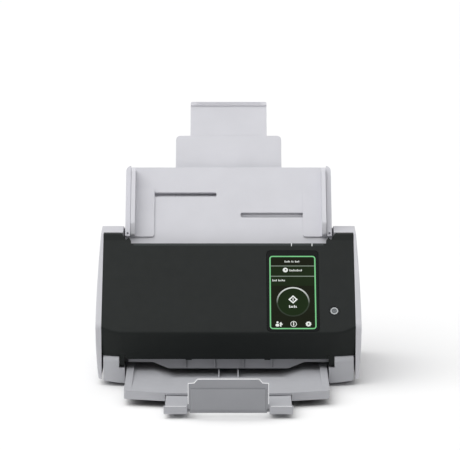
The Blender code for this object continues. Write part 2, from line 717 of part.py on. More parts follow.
def make_front_cover():
    """Black shell over the whole front: sloped face, front lip, side walls and two hinge legs."""
    top = face_point(TOWER_TOP, -1.2)
    bend = face_point(TOWER_BEND)
    low = BLOCK_TOP + GAP
    tower = rounded([(3.0, low, 0), (0, CREASE_Z, 5.0), (*bend, 6.0), (*top, 0.6), (86.0, top[1], 0),
                     (89.0, 151.0, 0), (21.3, 70.2, 0), (13.0, 50.0, 0), (12.5, low, 0)], 6.0)
    shell = bend_corners(prism("front_cover", [tower], -COVER_HALF, COVER_HALF, "X"))
    place(shell, "cover")
    # the middle is lower than the towers, and its top wall reaches back to the inner guide
    edge = face_point(COVER_TOP)
    above = [(60, 200), face_point(COVER_TOP + 0.01, -6), edge, (81.0, edge[1] - 2.6), (95, edge[1] - 2.6),
             (95, 200)]
    cut(shell, prism("above_middle", [above], -112, 112, "X"))
    for side in (-1, 1):
        notch = [(100, COVER_TOP), (110, COVER_TOP), (114.4, 122.5), (117.7, 119.8), (123.6, 129.4),
                 (123.6, 140), (100, 140)]
        cut(shell, on_face(prism("tower_notch", [[(side * x, up) for x, up in notch]], -25, 6)))
    # hollow: the face, lip and side walls are WALL thick, the back is open
    deep = [(3.0 + WALL, 20.0), (WALL * 0.95, CREASE_Z), face_point(6.0, WALL),
            face_point(COVER_TOP - 4.0, WALL), (140, edge[1] - 5.0), (140, 20)]
    cut(shell, prism("middle_room", [deep], -117.0, 117.0, "X"))
    tall = [(3.0 + WALL, 20.0), (WALL * 0.95, CREASE_Z), face_point(6.0, WALL),
            face_point(TOWER_TOP - 5.5, WALL), (140, top[1] - 4.0), (140, 20)]
    for side in (-1, 1):
        room = prism("tower_room", [tall], side * 119.4, side * (COVER_HALF - WALL), "X")
        cut(shell, bend_corners(room))
    # the middle of the lip reaches lower than its ends, and a tab covers each exit roller
    lip = [(3.2, 31.0), (2.4, 40.0), (2.4 + WALL, 40.0), (3.2 + WALL, 31.0)]
    half = MOUTH_HALF - 0.2
    join(shell, prism("middle_lip", [lip], MOUTH_SHIFT - half, MOUTH_SHIFT + half, "X"))
    for x in (-45.0, 44.0):
        join(shell, block("roller_tab", (x - 3.5, 3.6, 29.8), (x + 3.5, 5.0, 32.0)))
    for side in (-1, 1):
        leg = arc((HINGE_Y, HINGE_Z), 5.0, 180, 360, 8) + [(9.4, 44.0), (3.2, 44.0), (2.6, 36.0)]
        near, far = MOUTH_SHIFT + side * LEG_INNER, MOUTH_SHIFT + side * LEG_OUTER
        join(shell, prism("hinge_leg", [leg], near, far, "X"))
        cut(shell, rod("leg_hole", PIN_R + GAP, near - side * 2, far + side * 2, HINGE_Y, HINGE_Z))
    window = rect(SCREEN_LEFT - GAP, SCREEN_LOW - GAP, SCREEN_RIGHT + GAP, SCREEN_HIGH + GAP, 4.0)
    cut(shell, on_face(prism("screen_window", [window], -8, 4)))
    cut(shell, on_face(prism("button_hole", [circle(BUTTON_X, BUTTON_UP, 6.0)], -8, 4)))
    return finish(shell, CHARCOAL)


def make_inner_guide():
    """Upper wall of the paper path, on the back of the cover."""
    openings = [rect(-114, -138.0, 114, -12.0, 1)]
    openings.append(rect(-22, BRAKE_ALONG - 9, 22, BRAKE_ALONG + 9, 2))
    openings += [rect(x - 8, FEED_ALONG - 7.5, x + 8, FEED_ALONG + 7.5, 2) for x in (-28, 28)]
    openings += [rect(x - 6, EJECT_ALONG - 7.5, x + 6, EJECT_ALONG + 7.5, 2) for x in (-45, 45)]
    openings.append(rect(-110, SCAN_ALONG - SCAN_HALF, 110, SCAN_ALONG + SCAN_HALF, 1.5))
    guide = on_chute(prism("cover_inner_guide", openings, PATH_HALF_GAP, PATH_HALF_GAP + 2.0), "cover")
    mouth = [path_point(-13.0, PATH_HALF_GAP + 0.4), (77.2, 144.6), (75.4, 143.1), path_point(-16.0, 2.9)]
    join(guide, place(prism("hopper_lip", [mouth], -113.6, 113.6, "X"), "cover"), "MANIFOLD")
    return finish(guide, INNER_BLACK)


def make_display():
    """Touch glass, screen behind it and the bracket that holds the screen."""
    glass = rect(SCREEN_LEFT, SCREEN_LOW, SCREEN_RIGHT, SCREEN_HIGH, 3.7)
    finish(on_face(prism("display_glass", [glass], -1.3, -0.1)), GLASS)
    panel = rect(SCREEN_LEFT + 1.5, SCREEN_LOW + 1.5, SCREEN_RIGHT - 1.5, SCREEN_HIGH - 5.5, 1.5)
    finish(on_face(prism("lcd_panel", [panel], -4.2, -1.6)), SCREEN)
    bracket = rect(SCREEN_LEFT + 3, SCREEN_LOW + 6, SCREEN_RIGHT - 3, SCREEN_HIGH - 10, 3.0)
    finish(on_face(prism("display_bracket", [bracket], -5.3, -4.5)), STEEL)
    board = rect(-104, 40, -34, 92, 2.0)
    finish(on_face(prism("control_board", [board], -6.0, -4.4)), BOARD)


def make_power_button():
    up = math.radians(FACE_TILT)
    ring = [circle(BUTTON_X, BUTTON_UP, 5.7, 32), circle(BUTTON_X, BUTTON_UP, BUTTON_R + GAP, 32)]
    finish(smooth(on_face(prism("button_ring", ring, -3.0, 0.0))), CHARCOAL)
    at = (BUTTON_X, BUTTON_UP * math.cos(up), CREASE_Z + BUTTON_UP * math.sin(up))
    body("power_button", "cover", at)
    cap = prism("power_button", [circle(0, 0, BUTTON_R, 32)], -3.4, 0.0)
    place(cap, "power_button", at, FACE_TILT)
    join(cap, prism("button_stem", [circle(0, 0, 1.6, 16)], -5.2, -3.0))
    finish(smooth(cap), CHARCOAL)


# ---------------------------------------------------------------- chute

def make_chute():
    """Sloped hopper plate with raised rims, guide slots and the pinion's post."""
    half = CHUTE_HALF
    right = [(half, -CHUTE_PLATE), (half, RIM_TOP), (RIM_INNER, RIM_TOP), (RIM_INNER, 0)]
    section = right + [(-x, front) for x, front in reversed(right)]
    chute = on_chute(prism("paper_chute", [section], -9.7, CHUTE_TOP, "Y"))
    radius = 7.0
    for side in (-1, 1):
        turn = arc((half - radius, CHUTE_TOP - radius), radius, 90, 0, 6)
        corner = turn + [(half + 2, CHUTE_TOP - radius), (half + 2, CHUTE_TOP + 2),
                         (half - radius, CHUTE_TOP + 2)]
        cut(chute, prism("chute_corner", [[(side * x, up) for x, up in corner]], -10, 10))
        cut(chute, prism("pivot_hole", [circle(side * 116.4, 6.3, 1.3, 16)], 2.0, 10))
        near, far = sorted((side * (RIM_INNER - 3), side * (half + 2)))
        cut(chute, block("rim_start", (near, -20, 0), (far, 3, 10)))
        near, far = sorted((side * 14.0, side * 106.0))
        up = PINION_UP - side * 13.0
        cut(chute, prism("guide_slot", [rect(near, up - 3, far, up + 3, 2)], -10, 5))
    join(chute, prism("pinion_post", [circle(0, PINION_UP, 1.7, 16)], RACK_BACK - 0.6, -1))
    return finish(chute, CHUTE_GREY)


def make_chute_back():
    """Cover over the racks and the folding-away extensions, behind the chute plate."""
    right = [(117, -17.6), (117, -3.4), (115, -3.4), (115, -15.4)]
    section = right + [(-x, front) for x, front in reversed(right)]
    return finish(on_chute(prism("chute_back_cover", [section], 0, 88, "Y")), CHUTE_GREY)


def rack_outline(base, tip, first, last, end_left, end_right):
    """A rack's outline: teeth pointing from base towards tip, gaps centred on whole pitches."""
    pitch = math.pi * RACK_MODULE
    root = base + (tip - base) * 0.5
    points = [(end_left, root)]
    for index in range(first, last):
        centre = (index + 0.5) * pitch
        points += [(centre - 0.85, root), (centre - 0.35, tip), (centre + 0.35, tip), (centre + 0.85, root)]
    points += [(end_right, root), (end_right, base), (end_left, base)]
    return points


def make_side_guide(side):
    """A paper guide: wall and foot on the chute, neck through its slot, and a rack behind it."""
    name = "side_guide_left" if side < 0 else "side_guide_right"
    body(name, "base", (side * GUIDE_INNER, HOPPER_Y, HOPPER_Z))
    near, far = sorted((side * GUIDE_INNER, side * (GUIDE_INNER + GUIDE_WALL)))
    top = CHUTE_TOP - 4.5
    wall = rounded([(3, GAP, 0), (top, GAP, 0), (top, 14, 8), (14, 17, 5), (3, 8, 3)], 20.0)
    guide = on_chute(prism(name, [wall], near, far, "X"), name)
    near, far = sorted((side * 86.0, side * (GUIDE_INNER + 1.0)))
    join(guide, prism("guide_foot", [rect(near, 3.5, far, 66, 3)], GAP - 0.05, 1.9), "MANIFOLD")
    up = PINION_UP - side * 13.0
    near, far = sorted((side * 90.0, side * 102.0))
    join(guide, block("guide_neck", (near, up - 2.4, RACK_BACK + 0.2), (far, up + 2.4, 1.0)), "MANIFOLD")
    reach = PINION_TEETH * RACK_MODULE / 2
    base = PINION_UP - side * (reach + 5.5)
    tip = PINION_UP - side * (reach - 0.8)
    first, last, left, right = (-27, 2, -104.0, 7.5) if side < 0 else (-2, 27, -7.5, 104.0)
    outline = rack_outline(base, tip, first, last, left, right)
    join(guide, prism("guide_rack", [outline], RACK_BACK, RACK_FRONT), "MANIFOLD")
    return finish(guide, CHUTE_GREY)


def make_pinion():
    """Pinion between the two racks; it keeps the guides centred."""
    at = (0, *path_point(PINION_UP))
    body("guide_pinion", "base", at)
    pitch_r = PINION_TEETH * RACK_MODULE / 2
    points = []
    for index in range(PINION_TEETH):
        middle = 2 * math.pi * index / PINION_TEETH
        for radius, half in ((pitch_r - 1.3, 0.80), (pitch_r - 0.1, 0.58), (pitch_r + 0.8, 0.30)):
            points.append((radius, middle - half / radius))
        for radius, half in ((pitch_r + 0.8, 0.30), (pitch_r - 0.1, 0.58), (pitch_r - 1.3, 0.80)):
            points.append((radius, middle + half / radius))
    outline = [(r * math.cos(a), r * math.sin(a)) for r, a in points]
    pinion = prism("guide_pinion", [outline, circle(0, 0, 2.1, 20)], RACK_BACK, RACK_FRONT)
    return finish(place(pinion, "guide_pinion", at, CHUTE_TILT), INNER_BLACK)


def make_chute_extensions():
    """Two stages that slide out of the chute, one inside the other."""
    body("chute_extension_lower", "base", (0, HOPPER_Y, HOPPER_Z))
    sleeve = rect(-62, 60, 62, 140, 5)
    lower = on_chute(prism("chute_extension_lower", [sleeve], -14.4, -9.6), "chute_extension_lower")
    cut(lower, block("extension_pocket", (-45.4, 64, -13.3), (45.4, 150, -10.7)))
    finish(lower, CHUTE_GREY)
    body("chute_extension_upper", "chute_extension_lower", (0, HOPPER_Y, HOPPER_Z))
    tongue = rect(-45, 118, 45, 185, 4)
    upper = on_chute(prism("chute_extension_upper", [tongue], -13.0, -11.0), "chute_extension_upper")
    join(upper, prism("extension_grip", [rect(-45, 180, 45, 185, 2)], -14.4, -9.6))
    finish(upper, CHUTE_GREY)


# ---------------------------------------------------------------- stacker

def make_stacker():
    """Output tray that slides out of the mouth: thin top over a channel for its extension."""
    body("stacker", "base", (MOUTH_SHIFT, 0, STACKER_TOP))
    s = MOUTH_SHIFT
    rear = 44.0
    front = [(s - 113.1, -84), (s - 63, -95), (s, -99.5), (s + 63, -95), (s + 113.1, -84)]
    plan = rounded([(s + 113.4, rear, 2), (s - 113.4, rear, 2), (*front[0], 3), (*front[1], 60),
                    (*front[2], 100), (*front[3], 60), (*front[4], 3)], 4.0)
    tray = prism("stacker", [plan], STACKER_BOTTOM, STACKER_TOP)
    place(tray, "stacker")
    channel_top = EXT_TOP + 0.7
    channel_rear = -33.0
    half = EXT_HALF + 0.9
    cut(tray, block("extension_channel", (-half, -120, 5), (half, channel_rear, channel_top)))
    for side in (-1, 1):
        inner, outer = side * (EXT_HALF + 3.0), s + side * 110.6
        pocket = [(inner, channel_rear), (inner, -90.5), (s + side * 108.8, -81.0), (outer, channel_rear)]
        cut(tray, prism("tray_pocket", [pocket], 5, channel_top))
    # shallow scoop along the middle, and a dish under the exit that rises towards the front
    deep = STACKER_TOP - 1.1
    scoop = [(-86, STACKER_TOP + 0.5), (-60, deep), (60, deep), (86, STACKER_TOP + 0.5)]
    cut(tray, prism("tray_scoop", [scoop], -62, 60, "Y"))
    above, floor = STACKER_TOP + 0.5, STACKER_BOTTOM + 2.4
    dish = []
    for side in (-1, 1):
        dish += [(side * 68, -32, above), (side * 60, 6, floor), (side * 86, 6, above)]
        dish += [(side * 60, 60, floor), (side * 86, 60, above)]
    cut(tray, convex("tray_dish", dish))
    # raised border on each side that runs out towards the front
    rim = [(-80, STACKER_TOP - 1), (-76, STACKER_TOP + 0.1), (10, STACKER_TOP + 3.0),
           (rear - 1.5, STACKER_TOP + 3.0), (rear - 1.5, STACKER_TOP - 1)]
    for side in (-1, 1):
        join(tray, prism("tray_rim", [rim], s + side * 105.0, s + side * 113.2, "X"))
    for x in (-10.8, 10.8):
        join(tray, block("tray_rib", (x - 0.7, -30, floor - 1), (x + 0.7, rear - 1.5, STACKER_TOP - 0.4)))
    return finish(tray, STACKER_GREY)


def make_stacker_extension():
    """Fork that slides out from under the tray."""
    body("stacker_extension", "stacker", (0, EXT_FRONT, EXT_TOP))
    c = CUTOUT_HALF
    bumper, bumper_rear = EXT_HALF + 1.6, EXT_FRONT + 3.2
    right = [(c, -99, 2), (c, EXT_FRONT, 1), (bumper, EXT_FRONT, 1.2), (bumper, bumper_rear, 0),
             (EXT_HALF, bumper_rear, 0), (EXT_HALF, EXT_REAR, 1)]
    plan = rounded(right + [(-x, y, radius) for x, y, radius in reversed(right)], 30.0)
    fork = prism("stacker_extension", [plan], EXT_BOTTOM, EXT_TOP)
    place(fork, "stacker_extension")
    for side in (-1, 1):
        near, far = sorted((side * (c + 5.5), side * (EXT_HALF - 2.2)))
        cut(fork, block("fork_room", (near, EXT_FRONT + 2.2, 0), (far, EXT_REAR - 2.2, EXT_TOP - 2.4)))
        cut(fork, rod("stopper_socket", 2.1, side * (c - 3), side * (c + 3.6), STOPPER_Y, STOPPER_Z))
    cut(fork, block("fork_bridge_room", (-c + 2, -96.5, 0), (c - 2, EXT_REAR - 2.2, EXT_TOP - 2.4)))
    return finish(fork, STACKER_GREY)


def make_stopper():
    """Flap at the fork's front that stops the sheets; it folds back flat into the fork."""
    body("stacker_stopper", "stacker_extension", (0, STOPPER_Y, STOPPER_Z))
    right = [(41.4, 6.2, 0), (41.4, 10.2, 0), (43.9, 11.0, 0), (43.9, 38.9, 1.0), (36.8, 39.3, 1.5),
             (33.0, 44.2, 1.0)]
    outline = rounded(right + [(-x, z, radius) for x, z, radius in reversed(right)], 30.0)
    flap = prism("stacker_stopper", [outline], STOPPER_Y - 3.1, STOPPER_Y - 0.9, "Y")
    place(flap, "stacker_stopper")
    # the front is thicker between the two edges, up to a soft step
    front = STOPPER_Y - 4.2
    half = 40.4
    pad = rounded([(-half, front + 2, 0), (-half, front, 1), (half, front, 1), (half, front + 2, 0)], 30.0)
    join(flap, prism("stopper_pad", [pad], 9.4, 33.0))
    for side in (-1, 1):
        near, far = sorted((side * 36.0, side * 42.0))
        join(flap, block("stopper_ear", (near, STOPPER_Y - 2.0, 6.5), (far, STOPPER_Y + 1.8, 11.2)))
        near, far = side * 40.0, side * (CUTOUT_HALF + 3.0)
        join(flap, rod("stopper_trunnion", 1.8, near, far, STOPPER_Y, STOPPER_Z))
    return finish(flap, STACKER_GREY)


def main():
    body("base")
    body("cover", "base", (0, HINGE_Y, HINGE_Z))
    make_base_frame()
    for side in (-1, 1):
        make_side_cover(side)
        make_side_frame(side)
        make_side_guide(side)
    make_rear_cover()
    make_ports()
    make_rear_screws()
    make_feet()
    make_lower_guide()
    make_scan_units()
    make_hinge_pins()
    make_board()
    make_drive()
    make_front_cover()
    make_inner_guide()
    pressed_roller("brake_roller", BRAKE_ALONG, BRAKE_R, ((0, 17),), 4.0, 30.0)
    pressed_roller("feed_idlers", FEED_ALONG, IDLER_R, ((-28, 6), (28, 6)), 2.4, 46.0)
    pressed_roller("eject_idlers", EJECT_ALONG, IDLER_R, ((-45, 3.5), (45, 3.5)), 2.4, 56.0)
    make_display()
    make_power_button()
    make_chute()
    make_chute_back()
    make_pinion()
    make_chute_extensions()
    make_stacker()
    make_stacker_extension()
    make_stopper()


main()
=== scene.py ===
"""Looks for the desktop sheet fed document scanner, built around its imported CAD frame.

Lengths are in millimetres and are turned into metres where a mesh is made. The sloped front face
has its own frame: X runs across the scanner and Y runs up the face, from the touch glass's centre.
"""
import json
import math

import bmesh
import bpy
from mathutils import Matrix, Vector


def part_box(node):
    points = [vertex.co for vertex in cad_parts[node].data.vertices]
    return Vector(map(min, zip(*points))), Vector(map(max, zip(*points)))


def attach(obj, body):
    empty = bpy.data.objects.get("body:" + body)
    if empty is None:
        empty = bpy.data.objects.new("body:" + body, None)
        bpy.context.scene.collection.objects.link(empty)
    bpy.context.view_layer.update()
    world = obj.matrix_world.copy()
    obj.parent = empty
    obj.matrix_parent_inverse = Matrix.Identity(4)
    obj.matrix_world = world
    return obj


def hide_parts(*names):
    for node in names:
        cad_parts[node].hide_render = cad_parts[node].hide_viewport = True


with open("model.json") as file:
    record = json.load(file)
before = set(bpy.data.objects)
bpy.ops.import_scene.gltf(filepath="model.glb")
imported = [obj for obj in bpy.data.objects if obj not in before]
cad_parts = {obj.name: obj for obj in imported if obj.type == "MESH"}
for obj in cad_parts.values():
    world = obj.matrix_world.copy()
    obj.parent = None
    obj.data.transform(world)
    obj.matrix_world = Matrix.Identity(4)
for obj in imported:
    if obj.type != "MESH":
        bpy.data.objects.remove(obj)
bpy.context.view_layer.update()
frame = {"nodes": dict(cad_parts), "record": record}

MM = 0.001
SAME_PLACE = 1e-6             # metres within which two vertices are one
FACE_TILT = math.radians(50)
CHUTE_TILT = math.radians(54)

# ---------------------------------------------------------------- places worked out from the frame

OUT_OF_FACE = Vector((0, -math.sin(FACE_TILT), math.cos(FACE_TILT)))
GLASS_THICK = 1.2
GLASS_LOW, GLASS_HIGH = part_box("display_glass")
GLASS_FRONT = (GLASS_LOW + GLASS_HIGH) / 2 + OUT_OF_FACE * GLASS_THICK / 2 * MM
GLASS_RISE = (GLASS_HIGH.z - GLASS_LOW.z) / MM - GLASS_THICK * math.cos(FACE_TILT)
GLASS_HALF_Y = GLASS_RISE / math.sin(FACE_TILT) / 2

# ---------------------------------------------------------------- layout of the flat marks

LAYER = 0.04                  # thickness of each printed or lit layer
BACK, ROW, LINE, SIGN = 0.1, 1, 2, 3    # the screen's layers, from the glass outwards

SCREEN_HALF, SCREEN_LOW, SCREEN_HIGH = 26.35, -48.85, 44.95
BORDER = 1.45
OUTER_CORNER, INNER_CORNER = 3.7, 2.2
ROW_LINES = (31.85, 18.55)    # the heights of the two dividers
LINE_HEIGHT = 1.15
ROW_INSET, ROW_GAP, ROW_CORNER = 0.9, 0.8, 0.4
LABEL_LOW = 6.4
MODE_DISC, MODE_HOLE = (-8.2, 26.6, 2.95), (-7.8, 26.9, 0.95)
RING_X, RING_Y, RING_R, RING_WIDE = 0.2, -14.2, 18.8, 1.6
DIAMOND_RISE, DIAMOND_R, DIAMOND_WIDE = 3.0, 5.3, 2.1
ICON_X, ICON_Y = 16.7, -42.35
NOTE_X, GEAR_X = 0.5, ICON_X + 0.6
GEAR_TEETH, GEAR_TIP, GEAR_ROOT, GEAR_HALF_TOOTH = 8, 3.3, 2.85, 0.12

BUTTON_RING = (4.42, 3.0)     # outer and inner radius
BUTTON_FACE = 2.98
ON_ARC, ON_FROM, ON_TO = (1.5, 1.05), 130, 410

WORDS = {                     # left end, height of the middle, size, and strokes in each word
    "screen_title": (-8.9, 37.6, 2.35, (5, 2, 4)),
    "screen_mode_words": (-3.4, 26.2, 2.6, (10,)),
    "screen_label_words": (-23.0, 13.3, 2.4, (4, 6)),
    "start_words": (-4.4, RING_Y - 6.0, 3.3, (5,)),
}

EDGE_Y = GLASS_HALF_Y + 7.6   # the cover's upper edge
EDGE_LIFT = 0.1               # gap under the marks on that edge
TICK_THICK = 0.15
# the band along the upper edge, lighter than the cover as a painted highlight of its rounding
BAND_LEFT, BAND_RIGHT = -182.0, 36.0
BAND_BELOW, BAND_ABOVE = 0.9, 1.6
TICKS = {"edge_tick_left": -0.8, "edge_tick_right": 22.7}
TICK_WIDE, TICK_TALL = 0.9, 3.6

# ---------------------------------------------------------------- layout of the beads: painted highlights on the stopper's and fork's edges, and the grip ridges

STOPPER_PLATE = 1.25          # from the stopper's front to the middle of its plate's edge
STOPPER_FOOT_Z = 16.0
STOPPER_CORNERS = (           # half width, and how far below the stopper's top
    (43.35, 5.6), (42.95, 5.2), (36.9, 4.8), (33.4, 0.7), (32.6, 0.4),
)
FORK_EDGE = (45.6, 68.8)      # where each front edge of the fork starts and ends
FORK_EDGE_BACK, FORK_EDGE_DOWN = 0.45, 0.3
GRIP_DEEP = 4.8               # the bar at the top of the chute's upper stage
GRIP_RIDGES, RIDGE_HALF, RIDGE_START, RIDGE_PITCH, RIDGE_PROUD = 3, 38, 1.2, 1.3, 0.05
# the stopper's and fork's beads are painted highlights of their lit edges; the ridge beads are
# real ridges
STOPPER_HIGHLIGHT_BEAD, FORK_HIGHLIGHT_BEAD, RIDGE_BEAD = 0.55, 0.5, 0.32
BEAD_SHARP_FROM = math.radians(32.0)

# ---------------------------------------------------------------- rounding of the CAD shapes

FLAT_WITHIN = math.radians(0.6)
ROUND_FROM = math.radians(32.0)
SHARP_FROM = math.radians(38.0)
ROUND_STEPS = 3
WHOLLY_BY_AREA = 100          # weight that turns normals towards the larger faces

# ---------------------------------------------------------------- stage settings

FLOOR_SIZE = 30.0             # metres
SKY_LOW, SKY_HIGH, SKY_HIGH_AT, SKY_STRENGTH = 0.20, 1.0, 0.85, 0.82
SUN_ENERGY, SUN_WIDTH, SUN_TURN = 1.75, math.radians(75), (math.radians(4), math.radians(-30), 0)
CAMERA_AT = (0.0017, -2.9588, 0.7538)   # metres
CAMERA_TURN = (math.radians(79), 0, 0)
CAMERA_SENSOR, CAMERA_LENS = 36.0, 208.5


# ---------------------------------------------------------------- node trees

class Tree:
    """Makes a material's nodes and links them."""

    def __init__(self, name):
        self.material = bpy.data.materials.new(name)
        self.material.use_nodes = True
        self.nodes = self.material.node_tree.nodes
        self.links = self.material.node_tree.links
        self.shader = self.nodes["Principled BSDF"]
        self.place = self.add("ShaderNodeTexCoord").outputs["Object"]

    def add(self, kind, **values):
        node = self.nodes.new(kind)
        for key, value in values.items():
            setattr(node, key, value)
        return node

    def link(self, source, target):
        self.links.new(source, target)

    def scaled(self, factors):
        """The object's coordinates, stretched by a factor along each axis."""
        mapping = self.add("ShaderNodeMapping")
        mapping.inputs["Scale"].default_value = factors
        self.link(self.place, mapping.inputs["Vector"])
        return mapping.outputs["Vector"]

    def noise(self, size_mm, detail=2.0, roughness=0.5, where=None):
        """Noise whose grains are about size_mm across."""
        noise = self.add("ShaderNodeTexNoise")
        noise.inputs["Scale"].default_value = 1.0 / (size_mm * MM)
        noise.inputs["Detail"].default_value = detail
        noise.inputs["Roughness"].default_value = roughness
        self.link(where or self.place, noise.inputs["Vector"])
        return noise.outputs["Fac"]

    def spread(self, source, low, high, start=0.3, end=0.7):
        """Turns a source between start and end into a value between low and high."""
        node = self.add("ShaderNodeMapRange")
        for key, value in (("From Min", start), ("From Max", end),
                           ("To Min", low), ("To Max", high)):
            node.inputs[key].default_value = value
        self.link(source, node.inputs["Value"])
        return node.outputs["Result"]

    def ramp(self, source, stops):
        """A colour ramp through (position, colour) stops."""
        node = self.add("ShaderNodeValToRGB")
        points = node.color_ramp.elements
        while len(points) < len(stops):
            points.new(0.5)
        for point, (position, colour) in zip(points, stops):
            point.position = position
            point.color = (*colour, 1)
        self.link(source, node.inputs["Fac"])
        return node.outputs["Color"]

    def bump(self, height, distance_mm, strength=1.0, below=None):
        """A bump from a height, laid over another bump where one is given."""
        node = self.add("ShaderNodeBump")
        node.inputs["Distance"].default_value = distance_mm * MM
        node.inputs["Strength"].default_value = strength
        self.link(height, node.inputs["Height"])
        if below:
            self.link(below, node.inputs["Normal"])
        return node.outputs["Normal"]

    def feed(self, name, source):
        self.link(source, self.shader.inputs[name])

    def fix(self, **values):
        """Sets constants straight on the shader, and gives back the finished material."""
        for name, value in values.items():
            self.shader.inputs[name.replace("_", " ")].default_value = value
        return self.material


def shade(colour, factor):
    return tuple(min(1.0, part * factor) for part in colour)


# ---------------------------------------------------------------- materials

def between(colour, low, high):
    """The ends of a ramp between two shades of a colour."""
    return [(0.3, shade(colour, low)), (0.7, shade(colour, high))]


def moulded(name, colour, roughness, grain_mm, depth_mm, specular=0.5, spread=0.06):
    """Moulded plastic: spark-eroded grain, faint cloudiness and uneven gloss."""
    tree = Tree(name)
    cloud = tree.noise(38.0, 3.0)
    tree.feed("Base Color", tree.ramp(cloud, between(colour, 1 - spread, 1 + spread)))
    gloss = tree.noise(9.0, 4.0, 0.6)
    tree.feed("Roughness", tree.spread(gloss, roughness - 0.05, roughness + 0.05))
    broad = tree.bump(tree.noise(14.0, 1.0), 0.03, 0.5)
    tree.feed("Normal", tree.bump(tree.noise(grain_mm, 2.0), depth_mm, 1.0, broad))
    return tree.fix(Specular_IOR_Level=specular)


def rubber(name, colour):
    """Ground rubber: a dull fine tooth with a dusty bloom."""
    tree = Tree(name)
    bloom = tree.noise(6.0, 4.0, 0.65)
    tree.feed("Base Color", tree.ramp(bloom, [(0.35, colour), (0.75, shade(colour, 1.9))]))
    tree.feed("Roughness", tree.spread(bloom, 0.78, 0.92))
    tree.feed("Normal", tree.bump(tree.noise(0.4, 3.0, 0.7), 0.05))
    return tree.fix(Specular_IOR_Level=0.25)


def brushed(name, colour, stretch):
    """Rolled steel: long fine scratches along one axis."""
    tree = Tree(name)
    lines = tree.noise(1.2, 4.0, 0.7, tree.scaled(stretch))
    tree.feed("Base Color", tree.ramp(lines, between(colour, 0.85, 1.08)))
    tree.feed("Roughness", tree.spread(lines, 0.22, 0.42))
    tree.feed("Normal", tree.bump(lines, 0.006))
    return tree.fix(Metallic=1.0)


def polished_black(name, colour):
    """Touch glass: black and smooth, with the faint smear that fingers leave."""
    tree = Tree(name)
    smear = tree.noise(11.0, 5.0, 0.6)
    tree.feed("Base Color", tree.ramp(smear, [(0.3, colour), (0.8, shade(colour, 1.5))]))
    tree.feed("Roughness", tree.spread(smear, 0.16, 0.26))
    tree.feed("Normal", tree.bump(tree.noise(30.0, 1.0), 0.01))
    return tree.fix(Specular_IOR_Level=0.08)


def window_glass(name):
    """Clear scan window with a faint green tint and a little dust."""
    tree = Tree(name)
    dust = tree.noise(3.0, 5.0, 0.7)
    tree.feed("Roughness", tree.spread(dust, 0.02, 0.09))
    tint = [(0.2, (0.72, 0.85, 0.80)), (0.8, (0.80, 0.90, 0.86))]
    tree.feed("Base Color", tree.ramp(dust, tint))
    return tree.fix(Transmission_Weight=0.85, IOR=1.5)


def board_mask(name):
    """Circuit board: green solder mask over a grid of tracks."""
    tree = Tree(name)
    tracks = tree.add("ShaderNodeTexBrick", offset=0.35)
    tracks.inputs["Scale"].default_value = 160.0
    tracks.inputs["Mortar Size"].default_value = 0.07
    tracks.inputs["Color1"].default_value = (0.010, 0.105, 0.045, 1)
    tracks.inputs["Color2"].default_value = (0.012, 0.130, 0.055, 1)
    tracks.inputs["Mortar"].default_value = (0.045, 0.260, 0.110, 1)
    tree.link(tree.place, tracks.inputs["Vector"])
    tree.feed("Base Color", tracks.outputs["Color"])
    tree.feed("Normal", tree.bump(tracks.outputs["Fac"], 0.05))
    tree.feed("Roughness", tree.spread(tree.noise(4.0), 0.35, 0.5))
    return tree.fix(Specular_IOR_Level=0.5)


def glowing(tree, base):
    """The parts that all lit materials share."""
    tree.feed("Roughness", tree.spread(tree.noise(5.0), 0.25, 0.35))
    return tree.fix(Base_Color=(*base, 1), Emission_Strength=1.0, Specular_IOR_Level=0.02)


def lit(name, colour):
    """A lit mark on the screen, very slightly uneven like a backlight."""
    tree = Tree(name)
    glow = tree.noise(16.0, 1.0)
    tree.feed("Emission Color", tree.ramp(glow, between(colour, 0.9, 1.0)))
    return glowing(tree, shade(colour, 0.05))


def lit_fade(name, top, bottom, low_z, high_z):
    """A lit mark that fades from its top to its bottom."""
    tree = Tree(name)
    split = tree.add("ShaderNodeSeparateXYZ")
    tree.link(tree.place, split.inputs["Vector"])
    height = tree.spread(split.outputs["Z"], 0.0, 1.0, low_z, high_z)
    fade = [(0.0, bottom), (0.45, shade(bottom, 1.6)), (0.9, top)]
    tree.feed("Emission Color", tree.ramp(height, fade))
    return glowing(tree, (0.01, 0.01, 0.01))


def ring_height(side):
    """The height in metres of the start ring's top (side 1) or bottom (side -1)."""
    return GLASS_FRONT.z + (RING_Y + side * RING_R) * math.sin(FACE_TILT) * MM


# name, colour, roughness, grain size and depth in mm, specular level, spread of the cloudiness
CHARCOAL = moulded("charcoal_plastic", (0.0104, 0.0128, 0.0122), 0.50, 0.6, 0.03, 0.19)
# a lighter, smoother black for the band along the cover's upper edge: its lightness is a painted
# highlight of the rounded edge
COVER_EDGE_PAINTED_HIGHLIGHT = moulded("cover_edge_painted_highlight_plastic", (0.0280, 0.0350, 0.0350), 0.40, 0.6, 0.02, 0.25)
INNER_BLACK = moulded("inner_black_plastic", (0.010, 0.010, 0.010), 0.62, 0.5, 0.02, 0.3)
LIGHT_GREY = moulded("light_grey_plastic", (0.575, 0.575, 0.605), 0.50, 0.6, 0.02, 0.4, 0.025)
CHUTE_GREY = moulded("chute_grey_plastic", (0.66, 0.66, 0.70), 0.42, 0.7, 0.012, 0.4, 0.025)
# the base blocks' grey is the light grey made darker: painted shade for their place under the
# cover's overhang
BLOCK_PAINTED_SHADE_GREY = moulded("block_painted_shade_grey_plastic", (0.44, 0.445, 0.47), 0.50, 0.6, 0.02, 0.4, 0.025)
STACKER_GREY = moulded("stacker_grey_plastic", (0.43, 0.435, 0.46), 0.48, 0.6, 0.02, 0.4, 0.03)
